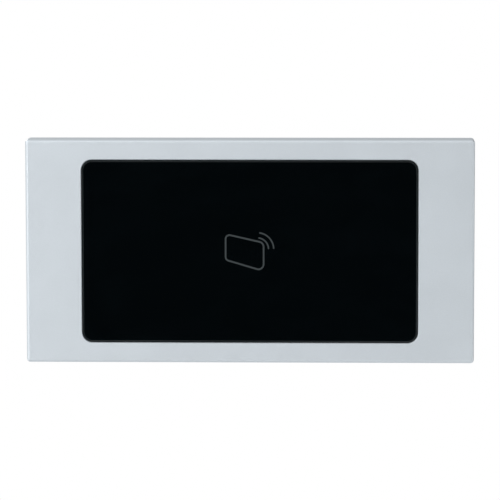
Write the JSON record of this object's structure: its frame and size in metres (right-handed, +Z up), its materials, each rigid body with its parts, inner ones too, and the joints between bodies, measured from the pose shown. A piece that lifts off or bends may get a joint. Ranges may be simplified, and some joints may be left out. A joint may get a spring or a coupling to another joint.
{
  "type": "flush-mounted card reader module",
  "caption": "Silver panel with a black window and a small card symbol, over a shallow black rear housing with two link sockets, an address switch under a plug and a tamper plunger.",
  "frame": {"origin": "middle of the four frame screw holes, in the plane of the panel's back rim", "axes": "+Z up on the wall, +Y into the wall, +X to the right as the reader is looked at; the front faces -Y"},
  "size_m": [0.112, 0.0306, 0.056],
  "materials": {
    "anodised_aluminium": "satin silver anodised, fine bead-blasted grain",
    "foam": "closed-cell foam, matt",
    "silicone": "moulded silicone, matt",
    "window": "gloss black, printed black on the back",
    "bonding_tape": "foam tape, matt",
    "symbol_ink": "grey printed ink",
    "milky_plastic": "milky diffuser, satin",
    "white_plastic": "white moulded plastic, satin",
    "natural_nylon": "natural nylon, satin",
    "black_abs": "black moulded plastic, fine texture",
    "black_plastic": "black moulded plastic, smooth",
    "grey_plastic": "grey acetal, satin",
    "switch_blue": "blue moulded plastic, satin",
    "label_film": "blank silver film, satin",
    "circuit_board": "green solder mask, semi-gloss",
    "copper_track": "copper under mask",
    "ferrite": "dark ferrite film, matt",
    "steel": "zinc plated steel",
    "tin": "tinned, bright",
    "chip_resin": "moulding resin, matt",
    "resistor_body": "glazed black ceramic",
    "capacitor_body": "tan ceramic",
    "capacitor_can": "drawn aluminium, bright",
    "led_lens": "pale yellow phosphor"
  },
  "bodies": {
    "reader": {"front_panel": "anodised_aluminium", "frame_seal": "foam", "window_glass": "window", "window_tape": "bonding_tape", "card_symbol": "symbol_ink", "symbol_diffuser": "milky_plastic", "antenna_board": "circuit_board", "antenna_coil": "copper_track", "ferrite_sheet": "ferrite", "antenna_carrier": "white_plastic", "antenna_screws": "steel", "main_board": "circuit_board", "board_screws": "steel", "controller_chip": "chip_resin", "controller_leads": "tin", "reader_chip": "chip_resin", "small_chips": "chip_resin", "small_chip_leads": "tin", "regulator": "chip_resin", "regulator_legs": "tin", "crystals": "steel", "chip_resistors": "resistor_body", "chip_capacitors": "capacitor_body", "chip_part_ends": "tin", "capacitor_cans": "capacitor_can", "capacitor_bases": "black_plastic", "choke": "ferrite", "buzzer": "black_plastic", "status_leds": "white_plastic", "led_lenses": "led_lens", "board_header": "black_plastic", "board_header_pins": "tin", "board_socket": "black_plastic", "link_socket_in": "natural_nylon", "link_socket_out": "natural_nylon", "link_pins_in": "tin", "link_pins_out": "tin", "address_switch_body": "switch_blue", "address_switch_pins": "tin", "tamper_switch": "black_plastic", "tamper_spring": "steel", "rear_housing": "black_abs", "housing_gasket": "silicone", "housing_screws": "steel", "rating_label": "label_film"},
    "address_slider_1": {"address_slider_1": "white_plastic"},
    "address_slider_2": {"address_slider_2": "white_plastic"},
    "address_slider_3": {"address_slider_3": "white_plastic"},
    "address_slider_4": {"address_slider_4": "white_plastic"},
    "tamper_switch_button": {"tamper_switch_button": "white_plastic"},
    "tamper_plunger": {"tamper_plunger": "grey_plastic"},
    "address_switch_plug": {"address_switch_plug": "silicone"}
  },
  "joints": [
    {"name": "tamper_press", "type": "slide", "parent": "reader", "child": "tamper_plunger", "axis": [0, -1, 0], "range_m": [0, 0.0015], "stiffness_N_per_m": 500, "springref_m": -0.001, "deforming": ["tamper_spring"]},
    {"name": "tamper_click", "type": "slide", "parent": "reader", "child": "tamper_switch_button", "axis": [0, -1, 0], "range_m": [0, 0.00025]},
    {"name": "address_slide_1", "type": "slide", "parent": "reader", "child": "address_slider_1", "axis": [0, 0, 1], "range_m": [-0.0018, 0]},
    {"name": "address_slide_2", "type": "slide", "parent": "reader", "child": "address_slider_2", "axis": [0, 0, 1], "range_m": [0, 0.0018]},
    {"name": "address_slide_3", "type": "slide", "parent": "reader", "child": "address_slider_3", "axis": [0, 0, 1], "range_m": [0, 0.0018]},
    {"name": "address_slide_4", "type": "slide", "parent": "reader", "child": "address_slider_4", "axis": [0, 0, 1], "range_m": [0, 0.0018]},
    {"name": "plug_pull", "type": "slide", "parent": "reader", "child": "address_switch_plug", "axis": [0, 1, 0], "range_m": [0, 0.012]}
  ],
  "couplings": [
    {"joint": "tamper_click", "follows": "tamper_press", "ratio": 0.16}
  ]
}
